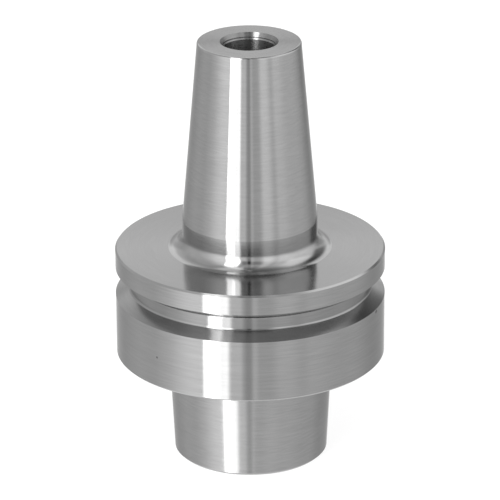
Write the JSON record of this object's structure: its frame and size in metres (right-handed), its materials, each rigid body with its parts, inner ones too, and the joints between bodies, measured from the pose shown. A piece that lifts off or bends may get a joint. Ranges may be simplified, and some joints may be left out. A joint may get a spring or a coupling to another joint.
{
  "type": "shrink fit holder",
  "caption": "Hollow taper shank chuck with a gripper groove and a tapered nose, which grips a round tool shank in its heated bore by shrinking.",
  "frame": {"origin": "centre of the contact face, the flat underside of the flange that seats on the spindle", "axes": "+Z along the spindle axis from the shank to the nose; X and Y are free, because the holder is round"},
  "size_m": [0.063, 0.063, 0.101],
  "materials": {
    "ground_steel": "hardened, turned and ground, bare satin steel",
    "screw_steel": "black oxide"
  },
  "bodies": {
    "holder": {"chuck_body": "ground_steel"},
    "stop_screw": {"length_stop_screw": "screw_steel"}
  },
  "joints": [
    {"name": "stop_screw_travel", "type": "slide", "parent": "holder", "child": "stop_screw", "axis": [0, 0, 1], "range_m": [0, 0.01]}
  ]
}
